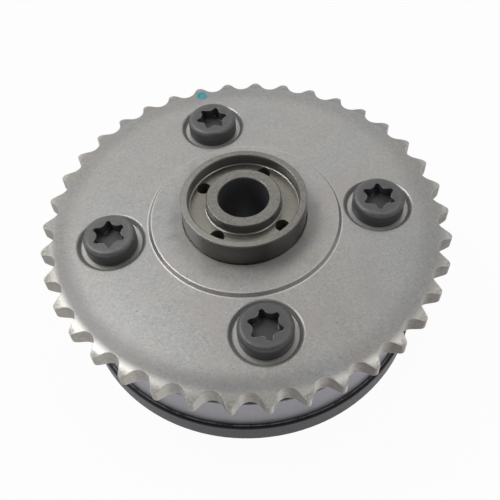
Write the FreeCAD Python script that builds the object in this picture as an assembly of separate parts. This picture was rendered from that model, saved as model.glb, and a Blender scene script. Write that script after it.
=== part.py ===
import FreeCAD, Part
import math
import os

# Vane-type cam phaser: a chain sprocket bolted to a chambered stator and a rear cover, with a
# vaned rotor inside that oil pressure turns a few degrees against the chain.
# Millimetres and degrees. +Z points out of the sprocket face. The origin is on the turning axis,
# in the rear face of the cover, on which the part stands.

# Chain and teeth
CHAIN_PITCH = 8.0
TEETH = 38
CHAIN_BUSH_D = 5.0
SEAT_CLEARANCE = 0.15
TOOTH_FLANK_ANGLE = 62.0
TIP_ABOVE_PITCH = 0.7
TOOTH_WIDTH = 4.8
TOOTH_SIDE_R = 8.0
TIP_RELIEF = 0.9

# Stack of the housing, from the rear face up
COVER_T = 6.1
COVER_R = 43.8
COVER_EDGE = 0.4
SPIGOT_DEPTH = 0.4
SPIGOT_LIP = 0.15
STATOR_H = 16.5
PLATE_T = 8.4
BOSS_TO_COUNTERBORE = 0.88
BOSS_H = 0.8
BOSS_SLOPE = 0.7

# Stator
STATOR_R = 42.6
STATOR_LAND_H = 11.5
STATOR_NECK_R = 41.2
CHAMBER_R = 37.6
LOBE_HALF_ANGLE = 16.0
LOBE_BOLT_WALL = 1.67

# Rotor
ROTOR_CORE_R = 23.4
NARROW_VANE_HALF_ANGLE = 8.0
PHASE_TRAVEL = 35.0
HUB_R = 14.84
HUB_GROOVE_W = 0.6
HUB_GROOVE_DEPTH = 0.25
HUB_ABOVE_FACE = 7.3
HUB_BORE_R = 5.98
CHANNEL_R = 13.13
CHANNEL_DEPTH = 2.93
CHANNEL_FILLET = 0.4
COLLAR_R = 8.8
COLLAR_BELOW_RIM = 0.18
REAR_BOSS_R = 16.0
REAR_BOSS_INSET = 0.5
PILOT_R = 11.0
PILOT_DEPTH = 3.0

# Oil ways in the rotor
OIL_HOLE_R = 1.7
OIL_CIRCLE_R = 11.05
OIL_HOLE_LAG = 41.3
CROSS_HOLE_R = 1.25
CROSS_HOLE_PAST_VANE = 4.0
CROSS_HOLE_IN = 4.0
REAR_OIL_CIRCLE_R = 8.9
REAR_OIL_HOLE_R = 1.4

# Bolts, in order round the axis; the wide gap after the first holds the lock pin's vane
BOLT_ANGLES = (2.16, 102.84, 189.71, 275.55)
BOLT_RECESS_TURNS = (27.6, 11.0, 35.5, 41.8)
BOLT_THREAD_R = 4.0
BOLT_HEAD_R = 6.2
BOLT_HEAD_H = 4.17
BOLT_HEAD_ROUND = 1.1
BOLT_TIP_INSET = 0.6
BOLT_TIP_CHAMFER = 0.7
BOLT_HOLE_GAP = 0.3
COUNTERBORE_R = 8.2
COUNTERBORE_FLOOR_R = 7.35
COUNTERBORE_DEPTH = 1.1
LOBE_RECESS_LOBES = 6
LOBE_RECESS_ACROSS = 7.93
LOBE_RECESS_WAIST = 5.64
LOBE_RECESS_TIP_R = 0.64
LOBE_RECESS_DEPTH = 2.6

# Timing mark on one tooth, in line with the second bolt
MARK_CIRCLE_R = 45.1
MARK_R = 1.4
MARK_DEPTH = 0.3

# Seals and their leaf springs
SEAL_W = 2.3
SEAL_DEPTH = 2.1
SEAL_SLOT_GAP = 0.05
SEAL_SPRING_SPACE = 0.8
SEAL_SPRING_T = 0.25
SEAL_SPRING_W = 1.8
SEAL_SPRING_L = 12.0

# Lock pin
PIN_R = 3.5
PIN_NOSE_R = 3.2
PIN_NOSE_H = 2.6
PIN_NOSE_CHAMFER = 0.5
PIN_TRAVEL = 2.4
PIN_POCKET_R = 2.3
PIN_CROWN_T = 4.0
PIN_SPRING_COIL_R = 1.75
PIN_SPRING_WIRE_R = 0.25
PIN_SPRING_TURNS = 7
PIN_SEAT_R = 4.2
PIN_SEAT_T = 1.8
PIN_SEAT_WALL = 1.4
PIN_VENT_R = 1.0
BUSH_R = 5.0
BUSH_H = 3.0

# Clearances and edge breaks
RUNNING_GAP = 0.06
END_GAP = 0.04
VANE_TIP_GAP = 0.3
LOBE_GAP = 0.2
STOP_GAP_ANGLE = 0.1
SPIGOT_GAP = 0.12
THREAD_GAP = 0.04
PRESS_GAP = 0.02
NOSE_GAP = 0.1
PIN_STOP_GAP = 0.1
EDGE_BREAK = 0.2
CUT_OVER = 1.0

# Heights worked out from the stack
Z_STATOR = COVER_T - SPIGOT_DEPTH
Z_PLATE = Z_STATOR + STATOR_H
Z_FACE = Z_PLATE + PLATE_T
Z_BOSS = Z_FACE + BOSS_H
Z_HUB = Z_FACE + HUB_ABOVE_FACE
Z_ROTOR_LOW = Z_STATOR + END_GAP
Z_ROTOR_TOP = Z_PLATE - END_GAP
Z_BOLT_SEAT = Z_FACE - COUNTERBORE_DEPTH

# Chain circle, vanes and lock position worked out from the same values
PITCH_ANGLE = 360.0 / TEETH
PITCH_R = CHAIN_PITCH / (2.0 * math.sin(math.pi / TEETH))
TOOTH_SEAT_R = CHAIN_BUSH_D / 2.0 + SEAT_CLEARANCE
ROOT_R = PITCH_R - TOOTH_SEAT_R
TIP_R = PITCH_R + TIP_ABOVE_PITCH
MARK_ANGLE = BOLT_ANGLES[1]
BOLTS = range(len(BOLT_ANGLES))
LOBE_INNER_R = ROTOR_CORE_R + LOBE_GAP
VANE_TIP_R = CHAMBER_R - VANE_TIP_GAP
VANE_SEAL_FACE_R = CHAMBER_R - RUNNING_GAP
LOBE_SEAL_FACE_R = ROTOR_CORE_R + RUNNING_GAP
SLOT_DEPTH = SEAL_DEPTH + SEAL_SPRING_SPACE
SLOT_W = SEAL_W + 2.0 * SEAL_SLOT_GAP
BOLT_HOLE_R = BOLT_THREAD_R + BOLT_HOLE_GAP
BOLT_CIRCLE_R = LOBE_SEAL_FACE_R + SLOT_DEPTH + LOBE_BOLT_WALL + BOLT_HOLE_R
BOSS_R = BOLT_CIRCLE_R - COUNTERBORE_R - BOSS_TO_COUNTERBORE
PLATE_BORE_R = HUB_R + RUNNING_GAP
PIN_CIRCLE_R = VANE_SEAL_FACE_R - SLOT_DEPTH - PIN_SEAT_WALL - PIN_SEAT_R


def gap_after(i):
    """Angle from bolt i round to the next bolt."""
    return (BOLT_ANGLES[(i + 1) % len(BOLT_ANGLES)] - BOLT_ANGLES[i]) % 360.0


WIDE_VANE = max(BOLTS, key=gap_after)
VANE_ANGLES = [BOLT_ANGLES[i] + gap_after(i) / 2.0 for i in BOLTS]
WIDE_VANE_HALF_ANGLE = gap_after(WIDE_VANE) / 2.0 - LOBE_HALF_ANGLE - PHASE_TRAVEL / 2.0 - STOP_GAP_ANGLE
PIN_ANGLE = VANE_ANGLES[WIDE_VANE]
LOCK_ANGLE = PIN_ANGLE - PHASE_TRAVEL / 2.0
Z_PIN_SEAT_TOP = Z_ROTOR_LOW + PIN_STOP_GAP + PIN_SEAT_T
Z_PIN_LOW = Z_PIN_SEAT_TOP + PIN_STOP_GAP + PIN_TRAVEL
Z_PIN_POCKET = Z_ROTOR_TOP - PIN_CROWN_T


def at(r, angle, z=0.0):
    """Point at a radius, angle and height."""
    a = math.radians(angle)
    return FreeCAD.Vector(r * math.cos(a), r * math.sin(a), z)


def up(height):
    return FreeCAD.Vector(0, 0, height)


def cylinder(r, z0, z1, centre=None):
    base = FreeCAD.Vector(0, 0, z0) if centre is None else FreeCAD.Vector(centre.x, centre.y, z0)
    return Part.makeCylinder(r, z1 - z0, base)


def cone(r0, r1, z0, z1, centre):
    return Part.makeCone(r0, r1, z1 - z0, FreeCAD.Vector(centre.x, centre.y, z0))


def drilling(r, start, end):
    return Part.makeCylinder(r, (end - start).Length, start, end - start)


def turned(profile):
    """Solid of revolution about the axis from corners (radius, height)."""
    corners = [FreeCAD.Vector(r, 0, z) for r, z in profile]
    wire = Part.makePolygon(corners + corners[:1])
    return Part.Face(wire).revolve(FreeCAD.Vector(0, 0, 0), up(1), 360)


def sector(r0, r1, angle, half_angle, z0, z1):
    """Annular block between two radial flanks."""
    a0 = angle - half_angle
    a1 = angle + half_angle
    outer = Part.Arc(at(r1, a0, z0), at(r1, angle, z0), at(r1, a1, z0)).toShape()
    inner = Part.Arc(at(r0, a1, z0), at(r0, angle, z0), at(r0, a0, z0)).toShape()
    side0 = Part.makeLine(at(r0, a0, z0), at(r1, a0, z0))
    side1 = Part.makeLine(at(r1, a1, z0), at(r0, a1, z0))
    return Part.Face(Part.Wire([side0, outer, side1, inner])).extrude(up(z1 - z0))


def radial_bar(r0, r1, width, angle, z0, z1):
    """Straight bar whose length runs along Z and whose depth runs along a radius."""
    bar = Part.makeBox(r1 - r0, width, z1 - z0, FreeCAD.Vector(r0, -width / 2.0, z0))
    return bar.rotate(FreeCAD.Vector(0, 0, 0), up(1), angle)


def rim_edges(shape, r, z, centre=None):
    """Circular edges of one radius at one height, about the axis or another centre."""
    middle = centre or FreeCAD.Vector(0, 0, 0)
    found = []
    for edge in shape.Edges:
        if not isinstance(edge.Curve, Part.Circle):
            continue
        c = edge.Curve.Center
        near = math.hypot(c.x - middle.x, c.y - middle.y) < 1e-4
        if near and abs(c.z - z) < 1e-4 and abs(edge.Curve.Radius - r) < 1e-4:
            found.append(edge)
    return found


def tooth_outline():
    """Closed ring: a round seat for the chain bush in each gap, straight flanks and a round crown."""
    half = PITCH_ANGLE / 2.0
    flank = math.radians(TOOTH_FLANK_ANGLE)
    flank_offset = PITCH_R * math.cos(flank - math.radians(half)) - TOOTH_SEAT_R
    crown_r = (flank_offset - TIP_R * math.cos(flank)) / (1.0 - math.cos(flank))
    edges = []
    for i in range(TEETH):
        tooth = MARK_ANGLE + i * PITCH_ANGLE
        crown = at(TIP_R - crown_r, tooth)
        seat = at(PITCH_R, tooth + half)
        start = crown + at(crown_r, tooth - TOOTH_FLANK_ANGLE)
        end = crown + at(crown_r, tooth + TOOTH_FLANK_ANGLE)
        seat_start = seat - at(TOOTH_SEAT_R, tooth + TOOTH_FLANK_ANGLE)
        seat_end = seat - at(TOOTH_SEAT_R, tooth + PITCH_ANGLE - TOOTH_FLANK_ANGLE)
        next_start = at(TIP_R - crown_r, tooth + PITCH_ANGLE) + at(
            crown_r, tooth + PITCH_ANGLE - TOOTH_FLANK_ANGLE)
        edges.append(Part.Arc(start, at(TIP_R, tooth), end).toShape())
        edges.append(Part.makeLine(end, seat_start))
        edges.append(Part.Arc(seat_start, at(ROOT_R, tooth + half), seat_end).toShape())
        edges.append(Part.makeLine(seat_end, next_start))
    return Part.Wire(edges)


def toothed_ring():
    """Tooth ring whose two faces fall away in an arc towards the tips."""
    low = Z_FACE - TOOTH_WIDTH
    blank = Part.Face(tooth_outline()).extrude(up(TOOTH_WIDTH))
    blank.translate(up(low))
    start = TIP_R - math.sqrt(2.0 * TOOTH_SIDE_R * TIP_RELIEF - TIP_RELIEF ** 2)
    reach = TIP_R + CUT_OVER

    def point(r, face, inward):
        drop = TOOTH_SIDE_R - math.sqrt(TOOTH_SIDE_R ** 2 - (r - start) ** 2)
        return FreeCAD.Vector(r, 0, face + inward * drop)

    middle = (start + reach) / 2.0
    below = [point(r, low, 1) for r in (start, middle, reach)]
    above = [point(r, Z_FACE, -1) for r in (reach, middle, start)]
    profile = Part.Wire([
        Part.makeLine(up(low), below[0]), Part.Arc(*below).toShape(), Part.makeLine(below[2], above[0]),
        Part.Arc(*above).toShape(), Part.makeLine(above[2], up(Z_FACE)), Part.makeLine(up(Z_FACE), up(low))])
    rounded = Part.Face(profile).revolve(FreeCAD.Vector(0, 0, 0), up(1), 360)
    return blank.common(rounded)


def boss():
    """Raised land round the hub, with a sloped edge."""
    return turned([
        (0, Z_PLATE), (BOSS_R, Z_PLATE), (BOSS_R, Z_FACE), (BOSS_R - BOSS_SLOPE, Z_BOSS), (0, Z_BOSS)])


def sprocket():
    """Front plate of the housing: teeth, raised boss, tapered counterbores and the hub's bore."""
    body = toothed_ring().fuse([cylinder(STATOR_NECK_R, Z_PLATE, Z_FACE - TOOTH_WIDTH), boss()])
    cuts = [cylinder(PLATE_BORE_R, Z_PLATE - CUT_OVER, Z_BOSS + CUT_OVER)]
    slope = (COUNTERBORE_R - COUNTERBORE_FLOOR_R) / COUNTERBORE_DEPTH
    mouth_r = COUNTERBORE_R + slope * CUT_OVER
    for angle in BOLT_ANGLES:
        centre = at(BOLT_CIRCLE_R, angle)
        cuts.append(cone(COUNTERBORE_FLOOR_R, mouth_r, Z_BOLT_SEAT, Z_FACE + CUT_OVER, centre))
        cuts.append(cylinder(BOLT_HOLE_R, Z_PLATE - CUT_OVER, Z_FACE, centre))
    cuts.append(cylinder(MARK_R, Z_FACE - MARK_DEPTH, Z_FACE + CUT_OVER, at(MARK_CIRCLE_R, MARK_ANGLE)))
    pocket_top = Z_PLATE + BUSH_H + PRESS_GAP
    cuts.append(cylinder(BUSH_R + PRESS_GAP, Z_PLATE - CUT_OVER, pocket_top, at(PIN_CIRCLE_R, LOCK_ANGLE)))
    body = body.cut(cuts).removeSplitter()
    edges = rim_edges(body, PLATE_BORE_R, Z_BOSS)
    for angle in BOLT_ANGLES:
        edges += rim_edges(body, COUNTERBORE_R, Z_FACE, at(BOLT_CIRCLE_R, angle))
    return body.makeChamfer(EDGE_BREAK, edges)


def stator():
    """Chambered ring: four lobes reach in to the rotor and carry the bolts."""
    step = Z_STATOR + STATOR_LAND_H
    body = turned([
        (LOBE_INNER_R, Z_STATOR), (STATOR_R, Z_STATOR), (STATOR_R, step - EDGE_BREAK),
        (STATOR_R - EDGE_BREAK, step), (STATOR_NECK_R, step), (STATOR_NECK_R, Z_PLATE),
        (LOBE_INNER_R, Z_PLATE)])
    cuts = []
    for i in BOLTS:
        half = gap_after(i) / 2.0 - LOBE_HALF_ANGLE
        low = Z_STATOR - CUT_OVER
        high = Z_PLATE + CUT_OVER
        cuts.append(sector(LOBE_INNER_R - CUT_OVER, CHAMBER_R, VANE_ANGLES[i], half, low, high))
        cuts.append(cylinder(BOLT_HOLE_R, low, high, at(BOLT_CIRCLE_R, BOLT_ANGLES[i])))
        slot_floor = LOBE_SEAL_FACE_R + SLOT_DEPTH
        cuts.append(radial_bar(LOBE_INNER_R - CUT_OVER, slot_floor, SLOT_W, BOLT_ANGLES[i], low, high))
    return body.cut(cuts)


def rear_cover():
    """Black plate that closes the chambers, takes the bolt threads and carries the rotor's rear boss."""
    spigot_r = STATOR_R + SPIGOT_GAP
    bore_r = REAR_BOSS_R + RUNNING_GAP
    body = turned([
        (bore_r, 0), (COVER_R - COVER_EDGE, 0), (COVER_R, COVER_EDGE), (COVER_R, COVER_T - EDGE_BREAK),
        (COVER_R - EDGE_BREAK, COVER_T), (spigot_r + SPIGOT_LIP, COVER_T), (spigot_r, COVER_T - SPIGOT_LIP),
        (spigot_r, Z_STATOR), (bore_r, Z_STATOR)])
    hole_r = BOLT_THREAD_R + THREAD_GAP
    centres = [at(BOLT_CIRCLE_R, angle) for angle in BOLT_ANGLES]
    body = body.cut([cylinder(hole_r, -CUT_OVER, COVER_T, centre) for centre in centres])
    edges = rim_edges(body, bore_r, 0)
    for centre in centres:
        edges += rim_edges(body, hole_r, 0, centre)
    return body.makeChamfer(EDGE_BREAK, edges)


def vane_half_angle(i):
    return WIDE_VANE_HALF_ANGLE if i == WIDE_VANE else NARROW_VANE_HALF_ANGLE


def oil_ways():
    """Front drillings feed one side of each vane and rear drillings the other side."""
    cuts = []
    floor = Z_HUB - CHANNEL_DEPTH
    front_level = Z_ROTOR_TOP - CROSS_HOLE_IN
    rear_level = Z_ROTOR_LOW + CROSS_HOLE_IN
    pilot_floor = REAR_BOSS_INSET + PILOT_DEPTH
    for i in BOLTS:
        side = vane_half_angle(i) + CROSS_HOLE_PAST_VANE
        front = BOLT_ANGLES[(i + 1) % len(BOLT_ANGLES)] - OIL_HOLE_LAG
        rear = VANE_ANGLES[i] - side
        exit_r = ROTOR_CORE_R + CUT_OVER
        front_end = at(OIL_CIRCLE_R, front, front_level)
        rear_end = at(REAR_OIL_CIRCLE_R, rear, rear_level)
        cuts.append(drilling(OIL_HOLE_R, at(OIL_CIRCLE_R, front, floor), front_end))
        cuts.append(drilling(CROSS_HOLE_R, front_end, at(exit_r, VANE_ANGLES[i] + side, front_level)))
        cuts.append(drilling(REAR_OIL_HOLE_R, at(REAR_OIL_CIRCLE_R, rear, pilot_floor), rear_end))
        cuts.append(drilling(CROSS_HOLE_R, rear_end, at(exit_r, rear, rear_level)))
    return cuts


def rotor():
    """One sintered piece: hub with its oil channel, core, four vanes and rear boss.

    A relief groove level with the boss parts the journal in the plate from the hub's free end.
    """
    pilot_floor = REAR_BOSS_INSET + PILOT_DEPTH
    groove_r = HUB_R - HUB_GROOVE_DEPTH
    groove_low = Z_BOSS - HUB_GROOVE_W / 2.0
    groove_top = groove_low + HUB_GROOVE_W
    channel_floor = Z_HUB - CHANNEL_DEPTH
    collar_top = Z_HUB - COLLAR_BELOW_RIM
    body = turned([
        (HUB_BORE_R, pilot_floor), (PILOT_R, pilot_floor), (PILOT_R, REAR_BOSS_INSET),
        (REAR_BOSS_R, REAR_BOSS_INSET), (REAR_BOSS_R, Z_ROTOR_LOW), (ROTOR_CORE_R, Z_ROTOR_LOW),
        (ROTOR_CORE_R, Z_ROTOR_TOP), (HUB_R, Z_ROTOR_TOP), (HUB_R, groove_low), (groove_r, groove_low),
        (groove_r, groove_top), (HUB_R, groove_top), (HUB_R, Z_HUB), (CHANNEL_R, Z_HUB),
        (CHANNEL_R, channel_floor), (COLLAR_R, channel_floor), (COLLAR_R, collar_top),
        (HUB_BORE_R, collar_top)])
    corners = rim_edges(body, CHANNEL_R, channel_floor) + rim_edges(body, COLLAR_R, channel_floor)
    body = body.makeFillet(CHANNEL_FILLET, corners)
    rims = rim_edges(body, HUB_R, Z_HUB) + rim_edges(body, CHANNEL_R, Z_HUB)
    rims += rim_edges(body, COLLAR_R, collar_top) + rim_edges(body, HUB_BORE_R, collar_top)
    rims += rim_edges(body, PILOT_R, REAR_BOSS_INSET)
    body = body.makeChamfer(EDGE_BREAK, rims)
    vanes = []
    cuts = oil_ways()
    for i in BOLTS:
        angle = VANE_ANGLES[i]
        root_r = ROTOR_CORE_R - CUT_OVER
        vanes.append(sector(root_r, VANE_TIP_R, angle, vane_half_angle(i), Z_ROTOR_LOW, Z_ROTOR_TOP))
        cuts.append(radial_bar(VANE_SEAL_FACE_R - SLOT_DEPTH, VANE_TIP_R + CUT_OVER, SLOT_W, angle,
                               Z_ROTOR_LOW - CUT_OVER, Z_ROTOR_TOP + CUT_OVER))
    pin_centre = at(PIN_CIRCLE_R, PIN_ANGLE)
    cuts.append(cylinder(PIN_R + RUNNING_GAP, Z_PIN_SEAT_TOP, Z_ROTOR_TOP + CUT_OVER, pin_centre))
    cuts.append(cylinder(PIN_SEAT_R + PRESS_GAP, Z_ROTOR_LOW - CUT_OVER, Z_PIN_SEAT_TOP, pin_centre))
    return body.fuse(vanes).cut(cuts)


def six_lobe_socket(depth):
    """Socket of round lobes joined by round waists, cut down from height 0."""
    tip_centre_r = LOBE_RECESS_ACROSS / 2.0 - LOBE_RECESS_TIP_R
    waist = LOBE_RECESS_WAIST / 2.0
    step = 360.0 / LOBE_RECESS_LOBES
    half = step / 2.0
    lean = math.cos(math.radians(half))
    cross = tip_centre_r * waist * lean
    waist_r = (LOBE_RECESS_TIP_R ** 2 - tip_centre_r ** 2 - waist ** 2 + 2.0 * cross) / (
        2.0 * (waist - tip_centre_r * lean - LOBE_RECESS_TIP_R))

    def join(lobe, side):
        tip = at(tip_centre_r, lobe)
        other = at(waist + waist_r, lobe + side)
        return tip + (other - tip).normalize() * LOBE_RECESS_TIP_R

    edges = []
    for i in range(LOBE_RECESS_LOBES):
        lobe = i * step
        tip = at(LOBE_RECESS_ACROSS / 2.0, lobe)
        edges.append(Part.Arc(join(lobe, -half), tip, join(lobe, half)).toShape())
        edges.append(Part.Arc(join(lobe, half), at(waist, lobe + half), join(lobe + step, -half)).toShape())
    socket = Part.Face(Part.Wire(edges)).extrude(up(depth))
    socket.translate(up(-depth))
    return socket


def bolt(i):
    """Cap screw with a six-lobe socket, from its seat in the counterbore down into the cover."""
    top = Z_BOLT_SEAT + BOLT_HEAD_H
    body = turned([
        (0, BOLT_TIP_INSET), (BOLT_THREAD_R - BOLT_TIP_CHAMFER, BOLT_TIP_INSET),
        (BOLT_THREAD_R, BOLT_TIP_INSET + BOLT_TIP_CHAMFER), (BOLT_THREAD_R, Z_BOLT_SEAT),
        (BOLT_HEAD_R, Z_BOLT_SEAT), (BOLT_HEAD_R, top), (0, top)])
    body = body.makeFillet(BOLT_HEAD_ROUND, rim_edges(body, BOLT_HEAD_R, top))
    socket = six_lobe_socket(LOBE_RECESS_DEPTH)
    socket.rotate(FreeCAD.Vector(0, 0, 0), up(1), BOLT_RECESS_TURNS[i])
    socket.translate(up(top))
    body = body.cut(socket)
    body.translate(at(BOLT_CIRCLE_R, BOLT_ANGLES[i]))
    return body


def seal(face_r, direction, angle):
    """Bar in its slot; direction is +1 for a face that looks outward and -1 for one that looks in."""
    back_r = face_r - direction * SEAL_DEPTH
    return radial_bar(min(face_r, back_r), max(face_r, back_r), SEAL_W, angle, Z_ROTOR_LOW, Z_ROTOR_TOP)


def leaf_spring(face_r, direction, angle):
    """Bowed strip behind a seal: its ends press on the seal and its middle on the slot's floor."""
    seal_back = face_r - direction * (SEAL_DEPTH + SEAL_SLOT_GAP)
    floor = face_r - direction * (SLOT_DEPTH - SEAL_SLOT_GAP)
    middle = (Z_ROTOR_LOW + Z_ROTOR_TOP) / 2.0
    low = middle - SEAL_SPRING_L / 2.0
    high = middle + SEAL_SPRING_L / 2.0
    side = -SEAL_SPRING_W / 2.0
    t = direction * SEAL_SPRING_T

    def point(r, z):
        return FreeCAD.Vector(r, side, z)

    near = Part.Arc(point(seal_back, low), point(floor + t, middle), point(seal_back, high)).toShape()
    far = Part.Arc(point(seal_back - t, high), point(floor, middle), point(seal_back - t, low)).toShape()
    end0 = Part.makeLine(point(seal_back, high), point(seal_back - t, high))
    end1 = Part.makeLine(point(seal_back - t, low), point(seal_back, low))
    strip = Part.Face(Part.Wire([near, end0, far, end1])).extrude(FreeCAD.Vector(0, SEAL_SPRING_W, 0))
    return strip.rotate(FreeCAD.Vector(0, 0, 0), up(1), angle)


def lock_pin():
    """Hollow pin, held up against the plate by its spring."""
    body = turned([
        (PIN_POCKET_R, Z_PIN_LOW), (PIN_R, Z_PIN_LOW), (PIN_R, Z_ROTOR_TOP - PIN_NOSE_H),
        (PIN_NOSE_R, Z_ROTOR_TOP - PIN_NOSE_H), (PIN_NOSE_R, Z_ROTOR_TOP - PIN_NOSE_CHAMFER),
        (PIN_NOSE_R - PIN_NOSE_CHAMFER, Z_ROTOR_TOP), (0, Z_ROTOR_TOP), (0, Z_PIN_POCKET),
        (PIN_POCKET_R, Z_PIN_POCKET)])
    body.translate(at(PIN_CIRCLE_R, PIN_ANGLE))
    return body


def lock_pin_spring():
    """Coil spring from the seat up to the roof of the pin's pocket."""
    low = Z_PIN_SEAT_TOP + PIN_SPRING_WIRE_R
    height = Z_PIN_POCKET - PIN_SPRING_WIRE_R - low
    helix = Part.makeHelix(height / PIN_SPRING_TURNS, height, PIN_SPRING_COIL_R)
    start = FreeCAD.Vector(PIN_SPRING_COIL_R, 0, 0)
    section = Part.Wire(Part.makeCircle(PIN_SPRING_WIRE_R, start, FreeCAD.Vector(0, 1, 0)))
    coil = Part.Wire(helix).makePipeShell([section], True, True)
    coil.translate(at(PIN_CIRCLE_R, PIN_ANGLE, low))
    return coil


def lock_pin_seat():
    """Vented plug that closes the pin's bore and carries its spring."""
    centre = at(PIN_CIRCLE_R, PIN_ANGLE)
    low = Z_PIN_SEAT_TOP - PIN_SEAT_T
    return cylinder(PIN_SEAT_R, low, Z_PIN_SEAT_TOP, centre).cut(
        cylinder(PIN_VENT_R, low - CUT_OVER, Z_PIN_SEAT_TOP + CUT_OVER, centre))


def lock_pin_bush():
    """Hardened ring in the plate's back face, over the pin when the rotor is at its retarded stop."""
    centre = at(PIN_CIRCLE_R, LOCK_ANGLE)
    bore = cylinder(PIN_NOSE_R + NOSE_GAP, Z_PLATE - CUT_OVER, Z_PLATE + BUSH_H + CUT_OVER, centre)
    return cylinder(BUSH_R, Z_PLATE, Z_PLATE + BUSH_H, centre).cut(bore)


def all_parts():
    parts = {
        "sprocket": sprocket(),
        "stator": stator(),
        "rear_cover": rear_cover(),
        "rotor": rotor(),
        "lock_pin": lock_pin(),
        "lock_pin_spring": lock_pin_spring(),
        "lock_pin_seat": lock_pin_seat(),
        "lock_pin_bush": lock_pin_bush(),
    }
    for i in BOLTS:
        n = i + 1
        parts["bolt_%d" % n] = bolt(i)
        parts["vane_seal_%d" % n] = seal(VANE_SEAL_FACE_R, 1, VANE_ANGLES[i])
        parts["vane_seal_spring_%d" % n] = leaf_spring(VANE_SEAL_FACE_R, 1, VANE_ANGLES[i])
        parts["lobe_seal_%d" % n] = seal(LOBE_SEAL_FACE_R, -1, BOLT_ANGLES[i])
        parts["lobe_seal_spring_%d" % n] = leaf_spring(LOBE_SEAL_FACE_R, -1, BOLT_ANGLES[i])
    return parts


os.makedirs("parts", exist_ok=True)
for name, shape in all_parts().items():
    shape.exportStep("parts/%s.step" % name)
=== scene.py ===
import bpy
import math
from functools import cached_property
from mathutils import Matrix, Vector

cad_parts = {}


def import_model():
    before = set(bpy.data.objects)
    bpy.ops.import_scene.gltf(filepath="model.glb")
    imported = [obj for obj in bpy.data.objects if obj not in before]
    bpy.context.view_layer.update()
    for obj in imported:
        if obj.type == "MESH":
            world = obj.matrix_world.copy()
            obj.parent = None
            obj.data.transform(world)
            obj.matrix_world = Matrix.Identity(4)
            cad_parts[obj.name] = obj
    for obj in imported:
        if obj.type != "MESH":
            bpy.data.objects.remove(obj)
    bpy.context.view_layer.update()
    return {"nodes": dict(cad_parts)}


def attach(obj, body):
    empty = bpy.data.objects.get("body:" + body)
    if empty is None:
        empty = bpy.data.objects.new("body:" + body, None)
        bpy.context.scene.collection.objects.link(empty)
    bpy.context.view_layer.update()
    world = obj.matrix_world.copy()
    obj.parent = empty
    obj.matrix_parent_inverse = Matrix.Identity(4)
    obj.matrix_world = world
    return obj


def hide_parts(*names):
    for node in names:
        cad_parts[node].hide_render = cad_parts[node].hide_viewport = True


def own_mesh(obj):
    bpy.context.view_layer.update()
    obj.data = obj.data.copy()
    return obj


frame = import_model()
NODES = frame["nodes"]
MM = 0.001


def polar(radius, degrees):
    """Point at a radius and an angle round the turning axis, in millimetres."""
    angle = math.radians(degrees)
    return Vector((radius * math.cos(angle), radius * math.sin(angle), 0))


# Heights over the rear face, and what they follow from, in millimetres
COVER_Z = 6.1
NECK_Z = 17.2
Z_FACE = 30.6
MARK_DEPTH = 0.3
COUNTERBORE_DEPTH = 1.1
COUNTERBORE_Z = Z_FACE - COUNTERBORE_DEPTH
BOLT_HEAD_H = 4.17
SOCKET_DEPTH = 2.6
SOCKET_FLOOR_Z = COUNTERBORE_Z + BOLT_HEAD_H - SOCKET_DEPTH
HUB_ABOVE_FACE = 7.3
CHANNEL_DEPTH = 2.93
CHANNEL_Z = Z_FACE + HUB_ABOVE_FACE - CHANNEL_DEPTH

# Radii round the turning axis, the channel's with part of its broken edge
BORE_R = 5.98
COLLAR_R = 8.8
CHANNEL_R = 13.2
HUB_R = 14.84
BOSS_R = 23.25
BOSS_SLOPE = 0.7
BOSS_TOP_R = BOSS_R - BOSS_SLOPE
STATOR_R = 42.6
MARK_CIRCLE_R = 45.1
BOLT_CIRCLE_R = 32.33

# Radii round each bolt
SOCKET_R = 4.0
BOLT_HEAD_R = 6.2
SEAT_R = 7.35
COUNTERBORE_R = 8.2

BOLT_ANGLES = (2.16, 102.84, 189.71, 275.55)
BOLTS = [polar(BOLT_CIRCLE_R, angle) for angle in BOLT_ANGLES]
MARK_ANGLE = BOLT_ANGLES[1]
MARK = polar(MARK_CIRCLE_R, MARK_ANGLE)

# Directions in the plane of the plate, as (right, away) in the photo, toward which painted shade and
# painted highlights grow
LEFT = (-0.87, -0.5)
NEAR_LEFT = (-0.64, -0.77)
NEAR_RIGHT = (0.74, -0.67)
NEAR = (0.57, -0.82)
FAR = (0.35, 0.94)

# Camera, in millimetres, with the axes of its picture
CAMERA_AT = (0.79, -105.99, 160.74)
CAMERA_RIGHT = (0.998214, -0.048120, -0.035410)
CAMERA_UP = (0.059745, 0.803992, 0.591631)
CAMERA_LENS = 50.08
SENSOR = 36.0


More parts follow.
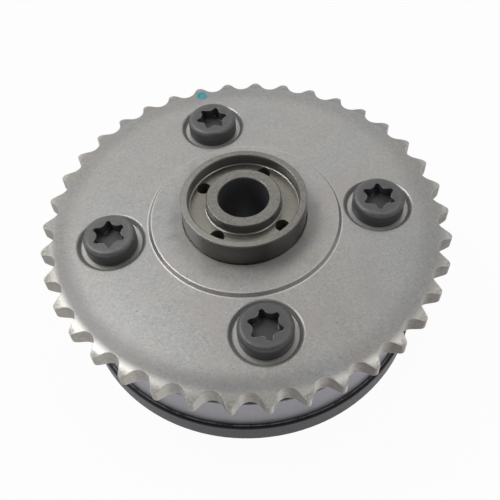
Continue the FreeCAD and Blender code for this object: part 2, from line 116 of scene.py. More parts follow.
class Graph:
    """Short calls that build the node tree of a material or of the world."""

    def __init__(self, owner):
        owner.use_nodes = True
        self.tree = owner.node_tree
        self.tree.nodes.clear()

    def add(self, kind, **values):
        node = self.tree.nodes.new(kind)
        for key, value in values.items():
            setattr(node, key, value)
        return node

    def link(self, value, socket):
        """Links another socket to this one, or sets a plain value on it."""
        if isinstance(value, bpy.types.NodeSocket):
            self.tree.links.new(value, socket)
        else:
            socket.default_value = value

    def math(self, operation, a, b=0.0):
        node = self.add("ShaderNodeMath", operation=operation)
        self.link(a, node.inputs[0])
        self.link(b, node.inputs[1])
        return node.outputs[0]

    def times(self, *factors):
        """Product of several masks and numbers."""
        product = factors[0]
        for factor in factors[1:]:
            product = self.math("MULTIPLY", product, factor)
        return product

    def ramp(self, value, low, high, to_low=0.0, to_high=1.0):
        """Value from low to high mapped smoothly to the other range and clamped."""
        node = self.add("ShaderNodeMapRange", interpolation_type="SMOOTHSTEP")
        limits = {"Value": value, "From Min": low, "From Max": high, "To Min": to_low, "To Max": to_high}
        for name, limit in limits.items():
            self.link(limit, node.inputs[name])
        return node.outputs["Result"]

    def band(self, value, rise, full, fall, gone):
        """Mask that is 1 from full to fall, and 0 below rise and above gone."""
        return self.times(self.ramp(value, rise, full), self.ramp(value, gone, fall))

    def separate(self, vector):
        node = self.add("ShaderNodeSeparateXYZ")
        self.link(vector, node.inputs[0])
        return node.outputs


class Surface(Graph):
    """Builds one material from a base colour and coats laid over it through masks."""

    def __init__(self, name):
        self.material = bpy.data.materials.new(name)
        super().__init__(self.material)
        self.base = None

    @cached_property
    def point(self):
        return self.add("ShaderNodeTexCoord").outputs["Object"]

    @cached_property
    def normal(self):
        return self.add("ShaderNodeNewGeometry").outputs["Normal"]

    @cached_property
    def facing(self):
        """How far the surface faces right, away and up, each from -1 to 1."""
        return self.separate(self.normal)

    @cached_property
    def place(self):
        """Place on the part, in millimetres to the right, away and up."""
        scale = self.add("ShaderNodeVectorMath", operation="SCALE")
        self.link(self.point, scale.inputs[0])
        self.link(1.0 / MM, scale.inputs["Scale"])
        return self.separate(scale.outputs[0])

    @property
    def height(self):
        return self.place[2]

    @cached_property
    def radius(self):
        """Distance from the turning axis, in millimetres."""
        right, away, _ = self.place
        return self.length(right, away)

    @cached_property
    def bolt_radius(self):
        """Distance from the nearest bolt's axis, in millimetres."""
        radii = [self.radius_at(centre) for centre in BOLTS]
        nearest = radii[0]
        for radius in radii[1:]:
            nearest = self.math("MINIMUM", nearest, radius)
        return nearest

    def radius_at(self, centre):
        """Distance from an upright axis, in millimetres."""
        right, away, _ = self.place
        return self.length(self.math("SUBTRACT", right, centre.x), self.math("SUBTRACT", away, centre.y))

    def length(self, a, b):
        return self.math("SQRT", self.math("ADD", self.times(a, a), self.times(b, b)))

    def toward(self, direction):
        """Distance from the turning axis along a direction in the plate's plane, in millimetres."""
        right, away, _ = self.place
        return self.math("ADD", self.times(right, direction[0]), self.times(away, direction[1]))

    def cells(self, kind, cell_mm, stretch=(1, 1, 1), shift=(0, 0, 0)):
        """Texture node with cells cell_mm wide, where a stretch under 1 draws them out."""
        mapping = self.add("ShaderNodeMapping")
        mapping.inputs["Scale"].default_value = [share / (cell_mm * MM) for share in stretch]
        mapping.inputs["Location"].default_value = shift
        self.link(self.point, mapping.inputs["Vector"])
        node = self.add(kind)
        self.link(mapping.outputs[0], node.inputs["Vector"])
        node.inputs["Scale"].default_value = 1.0
        return node

    def noise(self, size_mm, detail=4.0, roughness=0.6, stretch=(1, 1, 1), shift=0.0):
        """Noise whose grains are about size_mm across."""
        node = self.cells("ShaderNodeTexNoise", size_mm, stretch, (shift, shift * 0.7, shift * 0.3))
        node.inputs["Detail"].default_value = detail
        node.inputs["Roughness"].default_value = roughness
        return node.outputs["Fac"]

    def patches(self, size_mm, low, high, most=1.0, **noise):
        """Patches that are 0 where the noise is under low, and most where it is over high."""
        return self.ramp(self.noise(size_mm, **noise), low, high, 0.0, most)

    def specks(self, spacing_mm, size, shift=0.0):
        """Sparse round specks, 1 in a speck and 0 between."""
        node = self.cells("ShaderNodeTexVoronoi", spacing_mm, shift=(shift, shift, shift))
        keep = self.ramp(self.separate(node.outputs["Color"])[0], 0.55, 0.56)
        return self.times(self.ramp(node.outputs["Distance"], size, size * 0.5), keep)

    def mix(self, mask, a, b):
        """Colour a where the mask is 0 and b where it is 1."""
        node = self.add("ShaderNodeMix", data_type="RGBA")
        self.link(mask, node.inputs[0])
        for color, socket in ((a, node.inputs[6]), (b, node.inputs[7])):
            self.link(color if isinstance(color, bpy.types.NodeSocket) else (*color, 1.0), socket)
        return node.outputs[2]

    def coat(self, mask, color):
        """Lays a colour over the base through a mask."""
        self.base = self.mix(mask, self.base, color)

    def edges(self, radius_mm, full=0.85):
        """Normal rounded over the edges, and a mask that is 1 where it turns past the cosine full."""
        node = self.add("ShaderNodeBevel", samples=6)
        node.inputs["Radius"].default_value = radius_mm * MM
        dot = self.add("ShaderNodeVectorMath", operation="DOT_PRODUCT")
        self.link(node.outputs[0], dot.inputs[0])
        self.link(self.normal, dot.inputs[1])
        return node.outputs[0], self.ramp(dot.outputs["Value"], 0.995, full)

    def bump(self, height, strength, depth_mm, normal=None):
        """Normal roughened by a height, over the given normal."""
        node = self.add("ShaderNodeBump")
        node.inputs["Strength"].default_value = strength
        node.inputs["Distance"].default_value = depth_mm * MM
        self.link(height, node.inputs["Height"])
        if normal is not None:
            self.link(normal, node.inputs["Normal"])
        return node.outputs[0]

    def finish(self, roughness, metallic, normal, specular=0.5):
        shader = self.add("ShaderNodeBsdfPrincipled")
        values = {"Base Color": self.base, "Roughness": roughness, "Metallic": metallic,
                  "Specular IOR Level": specular, "Normal": normal}
        for name, value in values.items():
            self.link(value, shader.inputs[name])
        self.link(shader.outputs[0], self.add("ShaderNodeOutputMaterial").inputs["Surface"])
        return self.material


def dress(names, material):
    """Gives the named CAD nodes one material."""
    for name in names:
        node = NODES[name]
        node.data.materials.clear()
        node.data.materials.append(material)


# Colours of the sprocket, with painted shade and painted highlights among them
PLATE_WARM = (0.412, 0.400, 0.376)
PLATE_COOL = (0.394, 0.397, 0.400)
CLOUD = (0.345, 0.335, 0.33)
FLECK = (0.33, 0.32, 0.30)
BRIGHT_GRAIN = (0.55, 0.545, 0.525)
PORE = (0.262, 0.255, 0.244)
SMUDGE = (0.26, 0.255, 0.25)
TAN_STAIN = (0.46, 0.405, 0.33)
PINK_STAIN = (0.43, 0.39, 0.37)
BLUE_STAIN = (0.34, 0.345, 0.362)
RIM_SHADE = (0.12, 0.12, 0.122)
SEAT = (0.50, 0.495, 0.475)
# Painted shade in the seats' outer corner
SEAT_CORNER_SHADE = (0.07, 0.07, 0.068)
FLANK_BROWN = (0.235, 0.200, 0.175)
FLANK_TAN = (0.37, 0.345, 0.315)
# Painted shade and painted light on the flanks, and painted shade on the counterbore walls
FLANK_SHADED = (0.100, 0.083, 0.073)
FLANK_LIT = (0.60, 0.57, 0.52)
FLANK_SHADE_AT_RIGHT = (0.115, 0.102, 0.092)
FLANK_LIGHT_AT_LEFT = (0.60, 0.56, 0.51)
COUNTERBORE_WALL_SHADE = (0.085, 0.083, 0.079)
# Painted shade, painted highlight and painted glints on the bevels, edge wear with painted highlight, and
# painted highlight lines on the boss
BEVEL_SHADE_AT_FAR = (0.205, 0.20, 0.19)
BEVEL_HIGHLIGHT = (0.56, 0.54, 0.48)
BEVEL_GLINT = (0.86, 0.84, 0.78)
EDGE_WEAR_AND_HIGHLIGHT = (0.90, 0.89, 0.84)
BOSS_HIGHLIGHT_LINE = (0.90, 0.89, 0.85)
DARK_SPECK = (0.06, 0.06, 0.055)
RUST_SPECK = (0.20, 0.12, 0.05)

# Radii between which the sprocket's rim takes painted shade and its tooth tips take painted highlight and
# painted glints
RIM_BAND = (40.0, 44.4, 44.8, 47.6)
TIP_BEVEL = (45.6, 48.0)
TIP_GLINT = (46.8, 48.3)


def plate_face(g, grain, fleck):
    """Fine grain and pores over large, faint warm and cool areas."""
    g.base = g.mix(g.patches(19.0, 0.42, 0.6, detail=2.0, roughness=0.5, shift=7.7), PLATE_WARM, PLATE_COOL)
    g.coat(g.patches(7.0, 0.42, 0.68, 0.4, shift=3.1), CLOUD)
    g.coat(g.ramp(fleck, 0.4, 0.62, 0.0, 0.28), FLECK)
    g.coat(g.ramp(grain, 0.38, 0.62, 0.0, 0.55), BRIGHT_GRAIN)
    g.coat(g.patches(0.6, 0.44, 0.60, 0.22, detail=3.0, roughness=0.75, shift=31.0), PORE)


def plate_stains_and_rim_shade(g):
    """Smudges on the boss, faint stains all over, and painted shade on the rim, deepest at the near left.
    """
    on_boss = g.ramp(g.radius, 23.0, 21.0)
    g.coat(g.times(g.patches(4.5, 0.50, 0.66, 0.38, detail=5.0, roughness=0.7, shift=6.3), on_boss), SMUDGE)
    g.coat(g.times(g.patches(5.5, 0.52, 0.68, 0.45, roughness=0.65, shift=11.9), on_boss), TAN_STAIN)
    g.coat(g.patches(11.0, 0.50, 0.66, 0.42, shift=14.2), PINK_STAIN)
    g.coat(g.patches(10.0, 0.52, 0.66, 0.22, shift=17.5), BLUE_STAIN)
    # Painted shade on the rim, deeper toward the near left
    dark = g.ramp(g.toward(NEAR_LEFT), 20.0, 42.0, 0.24, 0.52)
    g.coat(g.times(g.band(g.radius, *RIM_BAND), dark), RIM_SHADE)


def plate_seats(g):
    """Pale floors of the counterbores, with painted shade in their outer corner."""
    seat = g.times(g.ramp(g.height, COUNTERBORE_Z + 0.1, COUNTERBORE_Z), g.ramp(g.facing[2], 0.9, 0.99))
    g.coat(g.times(seat, 0.8), SEAT)
    # Painted shade where the seat meets the counterbore's wall
    g.coat(g.times(seat, g.ramp(g.bolt_radius, SEAT_R - 0.28, SEAT_R - 0.08), 0.8), SEAT_CORNER_SHADE)


def plate_flanks(g, side, bore_wall):
    """Brown walls with painted shade where they face left, on the part's right side and on the counterbore
    walls, and painted light where they face right and on the left side.
    """
    right = g.place[0]
    faces_right = g.facing[0]
    flank = g.mix(g.patches(1.7, 0.40, 0.62, roughness=0.65, shift=5.7), FLANK_BROWN, FLANK_TAN)
    g.coat(g.times(side, 0.85), flank)
    # Painted shade on walls that face left
    g.coat(g.times(side, g.ramp(faces_right, 0.2, -0.6, 0.0, 0.82)), FLANK_SHADED)
    # Painted light on walls that face right, less at the part's far right
    lit = g.times(g.ramp(faces_right, 0.1, 0.7, 0.0, 0.8), g.ramp(right, 39.0, 46.5, 1.0, 0.15))
    g.coat(g.times(side, lit), FLANK_LIT)
    # Painted shade on walls on the part's right side
    g.coat(g.times(side, g.ramp(right, 16.0, 42.0, 0.0, 0.32)), FLANK_SHADE_AT_RIGHT)
    # Painted light on walls on the part's left side
    g.coat(g.times(side, g.ramp(right, 6.0, -36.0, 0.0, 0.34)), FLANK_LIGHT_AT_LEFT)
    # Painted shade on the counterbore walls
    g.coat(g.times(bore_wall, 0.85), COUNTERBORE_WALL_SHADE)


def plate_bevels(g):
    """Painted highlight and painted glints on the bevels at the tooth tips, fading toward the far side,
    where painted shade lies. Gives their mask.
    """
    away = g.place[1]
    bevel = g.times(g.ramp(g.radius, *TIP_BEVEL), g.ramp(g.facing[2], 0.5, 0.7))
    # Painted shade on the bevels on the far side
    g.coat(g.times(bevel, g.ramp(g.toward(FAR), 8.0, 26.0, 0.0, 0.6)), BEVEL_SHADE_AT_FAR)
    # The bevels' painted highlight fades toward the far side
    bevel = g.times(bevel, g.ramp(away, 10.0, 40.0, 1.0, 0.35))
    g.coat(g.times(bevel, 0.75), BEVEL_HIGHLIGHT)
    # Painted glints near the tooth tips, mostly on the near side
    tip_glint = g.times(g.patches(0.7, 0.36, 0.62, detail=3.0, shift=9.1), g.ramp(g.radius, *TIP_GLINT))
    g.coat(g.times(tip_glint, g.ramp(away, 10.0, 38.0, 0.7, 0.15), bevel), BEVEL_GLINT)
    return bevel


def plate_edges(g, edge, bore_wall):
    """Edge wear with painted highlight, brighter on the near side, and painted highlight lines at the
    boss's foot and top edge, strongest at the left and the near right.
    """
    # Edge wear with painted highlight, fading toward the far side
    wear_and_highlight = g.times(edge, g.ramp(g.place[1], 10.0, 38.0, 0.85, 0.25))
    g.coat(g.times(wear_and_highlight, g.math("SUBTRACT", 1.0, g.times(bore_wall, 0.85))), EDGE_WEAR_AND_HIGHLIGHT)
    # Painted highlight lines at the boss's foot and top edge, strongest at the left and near right
    foot = g.band(g.radius, BOSS_R - 0.05, BOSS_R + 0.1, BOSS_R + 0.2, BOSS_R + 0.4)
    top = g.band(g.radius, BOSS_TOP_R - 0.35, BOSS_TOP_R - 0.15, BOSS_TOP_R, BOSS_TOP_R + 0.1)
    lines = g.times(g.math("ADD", foot, top), g.ramp(g.toward(LEFT), 8.0, 21.0, 0.07, 0.54))
    near_line = g.times(foot, g.ramp(g.toward(NEAR_RIGHT), 14.0, 22.0, 0.0, 0.42))
    g.coat(g.math("MAXIMUM", lines, near_line), BOSS_HIGHLIGHT_LINE)


def sintered_plate():
    """Sintered sprocket: grain, stains and specks, brown tooth flanks, with painted shade and painted
    highlights on the rim, flanks, bevels and edges.
    """
    g = Surface("sintered_plate")
    rounded, edge = g.edges(0.26, 0.92)
    grain = g.noise(0.4, 5.0, 0.7)
    fleck = g.noise(1.1, 3.0, shift=4.4)
    side = g.ramp(g.facing[2], 0.5, 0.2)
    bore_wall = g.times(side, g.ramp(g.bolt_radius, COUNTERBORE_R + 0.7, COUNTERBORE_R + 0.3))
    plate_face(g, grain, fleck)
    plate_stains_and_rim_shade(g)
    plate_seats(g)
    plate_flanks(g, side, bore_wall)
    bevel = plate_bevels(g)
    plate_edges(g, edge, bore_wall)
    g.coat(g.times(g.specks(1.9, 0.085), 0.7), DARK_SPECK)
    g.coat(g.times(g.specks(8.0, 0.045, 2.0), 0.6), RUST_SPECK)
    flat = g.times(g.ramp(grain, 0.3, 0.7, 0.28, 0.42), g.math("SUBTRACT", 1.0, bevel))
    rough = g.math("ADD", flat, g.times(bevel, 0.29))
    rough = g.math("MAXIMUM", g.math("SUBTRACT", rough, g.times(edge, 0.15)), 0.28)
    off_bevel = g.ramp(bevel, 0.0, 0.6, 1.0, 0.15)
    normal = g.bump(g.times(fleck, off_bevel), 0.4, 0.012, rounded)
    normal = g.bump(g.times(g.noise(0.35, 2.0, 0.55), off_bevel), 0.4, 0.006, normal)
    return g.finish(rough, g.ramp(g.radius, 16.5, 21.0, 0.1, 0.5), normal)


# Colours of the stator, with painted shade and a painted highlight among them
STATOR_PALE = (0.345, 0.333, 0.374)
STATOR_DARK = (0.282, 0.275, 0.310)
STATOR_GRAIN = (0.54, 0.54, 0.57)
STATOR_FOOT_SHADE = (0.14, 0.14, 0.15)
STATOR_NECK_SHADE = (0.03, 0.03, 0.028)
STATOR_EDGE_HIGHLIGHT = (0.7, 0.7, 0.7)


def stator_metal():
    """Pale stator wall with upright streaks, painted shade at its foot by the cover and on its neck under
    the sprocket, and painted highlight on its edges.
    """
    g = Surface("stator_metal")
    rounded, edge = g.edges(0.12)
    grain = g.noise(0.4, 5.0, 0.65, shift=1.0)
    streak = g.patches(1.2, 0.3, 0.7, 0.35, detail=3.0, roughness=0.5, stretch=(1, 1, 0.12))
    g.base = g.mix(streak, STATOR_PALE, STATOR_DARK)
    g.coat(g.ramp(grain, 0.35, 0.7, 0.0, 0.25), STATOR_GRAIN)
    # Painted shade at the wall's foot beside the cover
    g.coat(g.ramp(g.height, COVER_Z + 1.8, COVER_Z + 0.2, 0.0, 0.55), STATOR_FOOT_SHADE)
    # Painted shade on the neck under the sprocket
    g.coat(g.ramp(g.height, NECK_Z + 0.05, NECK_Z + 0.3, 0.0, 0.8), STATOR_NECK_SHADE)
    # Painted highlight on the edges
    g.coat(g.times(edge, 0.3), STATOR_EDGE_HIGHLIGHT)
    return g.finish(g.ramp(grain, 0.3, 0.7, 0.34, 0.48), 0.35, g.bump(grain, 0.3, 0.02, rounded))


# Colours of the rear cover, with painted light and a painted highlight among them
COVER_BLACK = (0.013, 0.0145, 0.020)
COVER_LIGHTER = (0.023, 0.0255, 0.034)
COVER_TURNED = (0.052, 0.055, 0.068)
COVER_TOP_LIGHT = (0.050, 0.052, 0.058)
COVER_LIP_HIGHLIGHT = (0.62, 0.62, 0.63)
COVER_WORN = (0.25, 0.25, 0.26)


def black_cover():
    """Black oxide with turning marks round its wall, painted light on its upward faces, and a painted
    highlight line, broken by scuffs, beside the stator.
    """
    g = Surface("black_cover")
    rounded, edge = g.edges(0.15)
    grain = g.noise(0.5)
    g.base = g.mix(g.ramp(grain, 0.3, 0.7), COVER_BLACK, COVER_LIGHTER)
    g.coat(g.patches(0.9, 0.45, 0.75, 0.35, stretch=(0.2, 0.2, 3.0)), COVER_TURNED)
    # Painted light on upward faces
    g.coat(g.ramp(g.facing[2], 0.3, 0.6, 0.0, 0.8), COVER_TOP_LIGHT)
    # Painted highlight line beside the stator, broken by scuffs
    lip = g.band(g.radius, STATOR_R, STATOR_R + 0.15, STATOR_R + 0.38, STATOR_R + 0.52)
    scuffs = g.ramp(g.noise(2.6, roughness=0.7, shift=5.0), 0.38, 0.56, 0.15, 1.0)
    g.coat(g.times(lip, g.ramp(g.facing[2], 0.3, 0.6), scuffs, 0.9), COVER_LIP_HIGHLIGHT)
    g.coat(g.times(edge, g.patches(1.9, 0.52, 0.66, 0.5, roughness=0.7, shift=2.0)), COVER_WORN)
    rough = g.ramp(grain, 0.3, 0.7, 0.38, 0.52)
    return g.finish(rough, 0.0, g.bump(grain, 0.25, 0.02, rounded), specular=0.33)


# Colours of the rotor, with painted light, painted shade and painted highlights among them
ROTOR_DARK = (0.205, 0.200, 0.180)
ROTOR_PALE = (0.285, 0.278, 0.252)
TURNED_RING = (0.13, 0.127, 0.116)
ROTOR_PORE = (0.145, 0.141, 0.127)
CHANNEL_FLOOR = (0.235, 0.216, 0.182)
CHANNEL_FLOOR_NEAR_LIGHT = (0.36, 0.335, 0.295)
ROTOR_WALL = (0.108, 0.107, 0.106)
INNER_WALL = (0.185, 0.181, 0.174)
RIM_LIGHT_AT_LEFT = (0.34, 0.33, 0.30)
ROTOR_EDGE_HIGHLIGHT = (0.70, 0.69, 0.65)
CHANNEL_CORNER_HIGHLIGHT = (0.85, 0.84, 0.80)
BORE_WALL = (0.110, 0.113, 0.122)
OUTER_WALL_SHADE = (0.075, 0.075, 0.076)
HUB_WALL_HIGHLIGHT = (0.33, 0.32, 0.295)


def turned_rings(g):
    """Fine rings round the turning axis, as a lathe leaves them."""
    node = g.add("ShaderNodeTexNoise", noise_dimensions="1D")
    g.link(g.times(g.radius, 7.0), node.inputs["W"])
    node.inputs["Scale"].default_value = 1.0
    node.inputs["Detail"].default_value = 3.0
    return node.outputs["Fac"]


def rotor_faces(g, grain):
    """Turned upper faces and the stained floor of the channel, with painted light on the floor's near side.
    Gives the floor's mask.
    """
    g.base = g.mix(g.ramp(grain, 0.3, 0.7), ROTOR_DARK, ROTOR_PALE)
    g.coat(g.ramp(turned_rings(g), 0.35, 0.65, 0.0, 0.3), TURNED_RING)
    g.coat(g.patches(0.7, 0.42, 0.60, 0.6, roughness=0.7, shift=21.0), ROTOR_PORE)
    floor_ring = g.band(g.radius, COLLAR_R - 0.1, COLLAR_R + 0.1, CHANNEL_R - 0.1, CHANNEL_R + 0.1)
    channel_floor = g.times(floor_ring, g.ramp(g.noise(2.2, shift=8.8), 0.3, 0.7, 0.35, 0.75))
    g.coat(channel_floor, CHANNEL_FLOOR)
    # Painted light on the near side of the channel floor
    g.coat(g.times(channel_floor, g.ramp(g.place[1], 1.0, -8.0, 0.0, 0.55)), CHANNEL_FLOOR_NEAR_LIGHT)
    return channel_floor


def channel_corner(g, inside):
    """Mask of a thin painted highlight line round the foot of the channel's walls."""
    above = g.band(g.height, CHANNEL_Z - 0.1, CHANNEL_Z + 0.02, CHANNEL_Z + 0.12, CHANNEL_Z + 0.28)
    return g.times(above, inside, g.ramp(g.facing[2], 0.97, 0.85))


def hub_wall(g, outer, left):
    """Dark outer wall of the hub, with painted shade away from the left and two painted highlight streaks.
    """
    # Painted shade on the hub's outer wall, deepest away from the left
    g.coat(g.times(outer, g.ramp(left, 3.0, 13.0, 0.6, 0.1)), OUTER_WALL_SHADE)
    # Two painted highlight streaks, at the left and at the near right
    left_streak = g.ramp(left, HUB_R - 0.94, HUB_R - 0.14, 0.0, 0.42)
    near_streak = g.ramp(g.toward(NEAR), HUB_R - 0.84, HUB_R - 0.09, 0.0, 0.36)
    g.coat(g.times(outer, g.math("MAXIMUM", left_streak, near_streak)), HUB_WALL_HIGHLIGHT)


def rotor_metal():
    """Machined rotor: turned faces, a stained channel floor with painted light at its near side, dark
    walls, painted light on the rim at the left, painted highlights on the edges and round the channel's
    corner, and painted shade and highlight streaks on the hub's wall.
    """
    g = Surface("rotor_metal")
    rounded, edge = g.edges(0.14)
    grain = g.noise(0.3, 5.0, shift=2.0)
    left = g.toward(LEFT)
    side = g.ramp(g.facing[2], 0.6, 0.3)
    inside = g.ramp(g.radius, CHANNEL_R + 0.1, CHANNEL_R)
    inner = g.times(side, inside)
    bore = g.times(side, g.ramp(g.radius, BORE_R + 0.22, BORE_R + 0.07))
    outer = g.times(side, g.ramp(g.radius, CHANNEL_R + 0.2, CHANNEL_R + 0.6))
    channel_floor = rotor_faces(g, grain)
    g.coat(g.times(side, 0.85), ROTOR_WALL)
    g.coat(g.times(inner, 0.7), INNER_WALL)
    rim = g.ramp(g.radius, CHANNEL_R - 0.3, CHANNEL_R)
    # Painted light on the rim toward the left
    g.coat(g.times(rim, g.ramp(left, -8.0, 14.0, 0.0, 0.45)), RIM_LIGHT_AT_LEFT)
    # Painted highlight on the edges
    g.coat(g.times(edge, 0.6), ROTOR_EDGE_HIGHLIGHT)
    # Painted highlight line round the foot of the channel's walls
    g.coat(g.times(channel_corner(g, inside), 0.45), CHANNEL_CORNER_HIGHLIGHT)
    g.coat(g.times(bore, 0.95), BORE_WALL)
    hub_wall(g, outer, left)
    rough = g.math("SUBTRACT", g.ramp(grain, 0.3, 0.7, 0.27, 0.34), g.times(outer, 0.12))
    metal = 0.95
    for mask, less in ((inner, 0.6), (bore, 0.2), (channel_floor, 0.3)):
        metal = g.math("SUBTRACT", metal, g.times(mask, less))
    return g.finish(rough, metal, g.bump(grain, 0.12, 0.006, rounded))


# Colours of the bolts, with painted shade and painted glints among them
BOLT_DARK = (0.150, 0.150, 0.146)
BOLT_PALE = (0.200, 0.200, 0.195)
BOLT_CLOUD = (0.104, 0.105, 0.106)
BOLT_NEAR_SOCKET = (0.094, 0.095, 0.096)
BOLT_NEAR_SIDE_SHADE = (0.075, 0.075, 0.074)
SOCKET_FLOOR_SHADE = (0.060, 0.061, 0.063)
BOLT_SIDE = (0.125, 0.127, 0.133)
SOCKET_WALL = (0.14, 0.144, 0.15)
SOCKET_GLINT = (0.85, 0.85, 0.84)


def black_bolt():
    """Worn black oxide, darker toward the socket, with painted shade on the near side and on the socket's
    floor, and painted glints on the socket's edge.
    """
    g = Surface("black_bolt")
    rounded, edge = g.edges(0.2)
    grain = g.noise(0.35)
    inside = g.ramp(g.bolt_radius, SOCKET_R + 0.1, SOCKET_R)
    g.base = g.mix(g.ramp(grain, 0.3, 0.7), BOLT_DARK, BOLT_PALE)
    g.coat(g.patches(1.3, 0.42, 0.64, 0.35, roughness=0.65, shift=3.3), BOLT_CLOUD)
    g.coat(g.ramp(g.bolt_radius, BOLT_HEAD_R - 0.3, SOCKET_R + 0.1, 0.0, 0.55), BOLT_NEAR_SOCKET)
    # Painted shade on the bolts toward the near side
    g.coat(g.ramp(g.place[1], -12.0, -27.0, 0.0, 0.36), BOLT_NEAR_SIDE_SHADE)
    # Painted shade on the socket's floor
    g.coat(g.ramp(g.height, SOCKET_FLOOR_Z + 0.25, SOCKET_FLOOR_Z + 0.1, 0.0, 0.8), SOCKET_FLOOR_SHADE)
    g.coat(g.ramp(g.facing[2], 0.7, 0.1, 0.0, 0.75), BOLT_SIDE)
    g.coat(g.times(inside, g.ramp(g.facing[2], 0.5, 0.1), 0.8), SOCKET_WALL)
    # Painted glints on the socket's edge
    g.coat(g.times(edge, inside, g.patches(1.5, 0.50, 0.60, detail=2.0, shift=1.7)), SOCKET_GLINT)
    return g.finish(g.ramp(grain, 0.3, 0.7, 0.40, 0.52), 0.5, g.bump(grain, 0.2, 0.012, rounded))


# Colours of the inner pieces and of the paint, with a painted highlight and painted shade among them
SEAL_DARK = (0.05, 0.035, 0.025)
SEAL_PALE = (0.09, 0.066, 0.05)
SPRING_DARK = (0.34, 0.34, 0.35)
SPRING_PALE = (0.50, 0.50, 0.52)
HARD_DARK = (0.42, 0.42, 0.43)
HARD_PALE = (0.56, 0.56, 0.57)
HARD_EDGE_HIGHLIGHT = (0.75, 0.75, 0.75)
PAINT_DEEP = (0.055, 0.35, 0.41)
PAINT_BRIGHT = (0.075, 0.43, 0.49)
PAINT_DIMPLE_SHADE = (0.028, 0.16, 0.19)
PAINT_THIN = (0.20, 0.345, 0.355)


def seal_plastic():
    """Brown plastic with a fibrous grain."""
    g = Surface("seal_plastic")
    fibre = g.noise(0.5, stretch=(1, 1, 0.15))
    g.base = g.mix(g.ramp(fibre, 0.3, 0.7), SEAL_DARK, SEAL_PALE)
    return g.finish(g.ramp(fibre, 0.3, 0.7, 0.42, 0.6), 0.0, g.bump(fibre, 0.3, 0.02))


def spring_steel():
    """Bright drawn wire and strip."""
    g = Surface("spring_steel")
    drawn = g.noise(0.2)
    g.base = g.mix(g.ramp(drawn, 0.3, 0.7), SPRING_DARK, SPRING_PALE)
    return g.finish(g.ramp(drawn, 0.3, 0.7, 0.22, 0.36), 1.0, g.bump(drawn, 0.1, 0.005))


def hardened_steel():
    """Bright ground steel with fine marks round it, and painted highlight on its edges."""
    g = Surface("hardened_steel")
    rounded, edge = g.edges(0.1)
    ground = g.noise(0.25, stretch=(1, 1, 4))
    g.base = g.mix(g.ramp(ground, 0.3, 0.7), HARD_DARK, HARD_PALE)
    # Painted highlight on the edges
    g.coat(g.times(edge, 0.4), HARD_EDGE_HIGHLIGHT)
    return g.finish(g.ramp(ground, 0.3, 0.7, 0.2, 0.32), 1.0, g.bump(ground, 0.1, 0.005, rounded))


def paint():
    """Turquoise paint, with painted shade along the upper left of the dimple's edge, and thin at its own.
    """
    g = Surface("timing_paint")
    thick = g.noise(0.7, 3.0, 0.5)
    g.base = g.mix(g.ramp(thick, 0.3, 0.7), PAINT_DEEP, PAINT_BRIGHT)
    from_middle = g.radius_at(MARK)
    right, away, _ = g.place
    up_left = g.math("SUBTRACT", g.math("SUBTRACT", away, MARK.y), g.math("SUBTRACT", right, MARK.x))
    dimple_edge = g.band(from_middle, 0.65, 0.9, 0.95, 1.15)
    # Painted shade along the upper left of the dimple's edge
    g.coat(g.times(dimple_edge, g.ramp(up_left, -0.6, 0.7, 0.15, 0.9)), PAINT_DIMPLE_SHADE)
    g.coat(g.ramp(from_middle, 1.0, 1.45, 0.0, 0.85), PAINT_THIN)
    return g.finish(g.ramp(thick, 0.3, 0.7, 0.45, 0.6), 0.0, g.bump(thick, 0.4, 0.05))


# The dab of paint: its radius, its rings as shares of that with their heights over the plate, the
# heights of its middle and its underside, and the points in a ring
DAB_R = 1.58
DAB_RINGS = ((1.0, -0.005), (0.97, 0.035), (0.8, 0.05), (0.5, 0.02))
DAB_MIDDLE = 0.01
DAB_UNDER = 0.02 - MARK_DEPTH
DAB_POINTS = 40


def dab_outline(turn):
    """Radius of the uneven dab at an angle, as a share of its mean."""
    return 1.0 + 0.07 * math.sin(2 * turn + 0.8) + 0.05 * math.sin(3 * turn + 2.0)


def timing_mark():
    """Dab of paint that fills the dimple over one tooth and runs a little past it."""
    along = polar(1.0, MARK_ANGLE)
    across = Vector((-along.y, along.x, 0))
    verts = []
    for share, rise in DAB_RINGS:
        for i in range(DAB_POINTS):
            turn = 2 * math.pi * i / DAB_POINTS
            reach = DAB_R * share * dab_outline(turn)
            point = MARK + along * (reach * math.cos(turn)) + across * (reach * math.sin(turn))
            verts.append((point.x * MM, point.y * MM, (Z_FACE + rise) * MM))
    middle = len(verts)
    verts.append((MARK.x * MM, MARK.y * MM, (Z_FACE + DAB_MIDDLE) * MM))
    under = len(verts)
    verts += [(x, y, (Z_FACE + DAB_UNDER) * MM) for x, y, _ in verts[:DAB_POINTS]]
    steps = [(i, (i + 1) % DAB_POINTS) for i in range(DAB_POINTS)]
    last = middle - DAB_POINTS
    faces = [(a + i, a + j, a + DAB_POINTS + j, a + DAB_POINTS + i)
             for a in range(0, last, DAB_POINTS) for i, j in steps]
    faces += [(last + i, last + j, middle) for i, j in steps]
    faces += [(i, under + i, under + j, j) for i, j in steps]
    faces.append([under + i for i, _ in steps])
    mesh = bpy.data.meshes.new("timing_paint_dab")
    mesh.from_pydata(verts, [], faces)
    mesh.update()
    mesh.shade_smooth()
    mesh.materials.append(paint())
    dab = bpy.data.objects.new("timing_paint_dab", mesh)
    bpy.context.scene.collection.objects.link(dab)
    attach(dab, "housing")


def pin_spring():
    """Copy of the lock pin's spring with a mesh of its own, hung on the rotor in place of the original."""
    coil = bpy.data.objects.new("lock_pin_spring_coil", NODES["lock_pin_spring"].data.copy())
    bpy.context.scene.collection.objects.link(coil)
    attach(coil, "rotor")
    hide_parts("lock_pin_spring")
    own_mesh(coil)


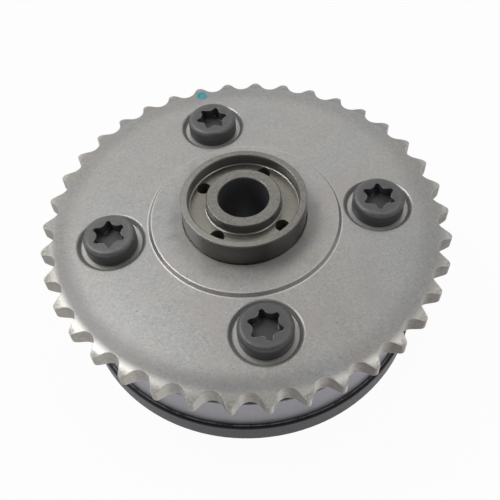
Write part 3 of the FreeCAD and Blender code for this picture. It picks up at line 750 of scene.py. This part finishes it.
# The room's light, its share on the camera's side, the way to that side, and the floor
ROOM = 0.49
FRONT_SHARE = 0.25
FRONT = (0.0, -0.66, 0.75)
WHITE = (1.0, 1.0, 1.0, 1.0)
FLOOR_GREY = (0.80, 0.80, 0.80, 1.0)
FLOOR_GLOW = 0.96
FLOOR_HALF = 1.5


def floor():
    """Pale floor that reads white to the camera and keeps the part's shadow."""
    material = bpy.data.materials.new("floor_white")
    g = Graph(material)
    paths = g.add("ShaderNodeLightPath").outputs
    seen = g.math("MAXIMUM", paths["Is Camera Ray"], paths["Is Glossy Ray"])
    seen = g.math("MAXIMUM", seen, paths["Is Transmission Ray"])
    matte = g.add("ShaderNodeBsdfDiffuse")
    g.link(FLOOR_GREY, matte.inputs["Color"])
    glow = g.add("ShaderNodeEmission")
    g.link(1.0, glow.inputs["Strength"])
    mix = g.add("ShaderNodeMixShader")
    for value, socket in zip((g.times(seen, FLOOR_GLOW), matte.outputs[0], glow.outputs[0]), mix.inputs):
        g.link(value, socket)
    g.link(mix.outputs[0], g.add("ShaderNodeOutputMaterial").inputs["Surface"])
    mesh = bpy.data.meshes.new("floor")
    corners = [(x * FLOOR_HALF, y * FLOOR_HALF, 0) for x, y in ((-1, -1), (1, -1), (1, 1), (-1, 1))]
    mesh.from_pydata(corners, [], [(0, 1, 2, 3)])
    mesh.materials.append(material)
    sheet = bpy.data.objects.new("floor", mesh)
    bpy.context.scene.collection.objects.link(sheet)


def world():
    """Grey room, darker on the camera's side, that reads white to the camera. Metal shows the
    white too, where it mirrors what lies low down, but not at the right."""
    studio = bpy.data.worlds.new("studio")
    bpy.context.scene.world = studio
    g = Graph(studio)
    direction = g.add("ShaderNodeTexCoord").outputs["Generated"]
    towards = g.add("ShaderNodeVectorMath", operation="DOT_PRODUCT")
    g.link(direction, towards.inputs[0])
    g.link(FRONT, towards.inputs[1])
    room = g.add("ShaderNodeBackground")
    g.link(WHITE, room.inputs["Color"])
    g.link(g.ramp(towards.outputs["Value"], 0.45, 0.9, ROOM, ROOM * FRONT_SHARE), room.inputs["Strength"])
    white = g.add("ShaderNodeBackground")
    g.link(WHITE, white.inputs["Color"])
    g.link(1.0, white.inputs["Strength"])
    x, _, z = g.separate(direction)
    backdrop = g.times(g.ramp(z, 0.30, 0.05), g.ramp(x, 0.6, 0.1))
    paths = g.add("ShaderNodeLightPath").outputs
    mirrored = g.math("MAXIMUM", paths["Is Glossy Ray"], paths["Is Transmission Ray"])
    seen = g.math("MAXIMUM", paths["Is Camera Ray"], g.times(mirrored, backdrop))
    mix = g.add("ShaderNodeMixShader")
    for value, socket in zip((seen, room.outputs[0], white.outputs[0]), mix.inputs):
        g.link(value, socket)
    g.link(mix.outputs[0], g.add("ShaderNodeOutputWorld").inputs["Surface"])


def panel(name, azimuth, elevation, width, height, radiance, distance=0.7):
    """Soft light panel that faces the part, given by where it stands and how bright its face is."""
    light = bpy.data.lights.new(name, "AREA")
    light.shape = "RECTANGLE"
    light.size = width
    light.size_y = height
    light.energy = radiance * math.pi * width * height
    lamp = bpy.data.objects.new(name, light)
    a, e = math.radians(azimuth), math.radians(elevation)
    away = Vector((math.cos(e) * math.cos(a), math.cos(e) * math.sin(a), math.sin(e)))
    lamp.location = away * distance + Vector((0, 0, Z_FACE * MM))
    lamp.rotation_euler = away.to_track_quat("Z", "Y").to_euler()
    bpy.context.scene.collection.objects.link(lamp)


def camera():
    """Camera at the photo's angle."""
    right, up = Vector(CAMERA_RIGHT).normalized(), Vector(CAMERA_UP)
    back = right.cross(up).normalized()
    up = back.cross(right)
    turn = Matrix((right, up, back)).transposed().to_4x4()
    data = bpy.data.cameras.new("camera")
    data.lens = CAMERA_LENS
    data.sensor_width = SENSOR
    data.clip_start = 0.01
    data.clip_end = 20
    eye = bpy.data.objects.new("camera", data)
    eye.matrix_world = Matrix.Translation(Vector(CAMERA_AT) * MM) @ turn
    bpy.context.scene.collection.objects.link(eye)
    bpy.context.scene.camera = eye


ONE_TO_FOUR = range(1, 5)
SEALS = ["%s_seal_%d" % (where, n) for where in ("vane", "lobe") for n in ONE_TO_FOUR]
SEAL_SPRINGS = ["%s_seal_spring_%d" % (where, n) for where in ("vane", "lobe") for n in ONE_TO_FOUR]

dress(["sprocket"], sintered_plate())
dress(["stator"], stator_metal())
dress(["rear_cover"], black_cover())
dress(["rotor"], rotor_metal())
dress(["bolt_%d" % n for n in ONE_TO_FOUR], black_bolt())
dress(SEALS, seal_plastic())
dress(SEAL_SPRINGS + ["lock_pin_spring"], spring_steel())
dress(["lock_pin", "lock_pin_seat", "lock_pin_bush"], hardened_steel())
timing_mark()
pin_spring()

floor()
world()
panel("left_panel", 152, 58, 0.30, 0.30, radiance=5.6)
panel("right_panel", 5, 66, 0.26, 0.26, radiance=1.95)
panel("back_panel", 92, 46, 0.5, 0.34, radiance=0.6)
camera()
bpy.context.scene.view_settings.view_transform = "Standard"
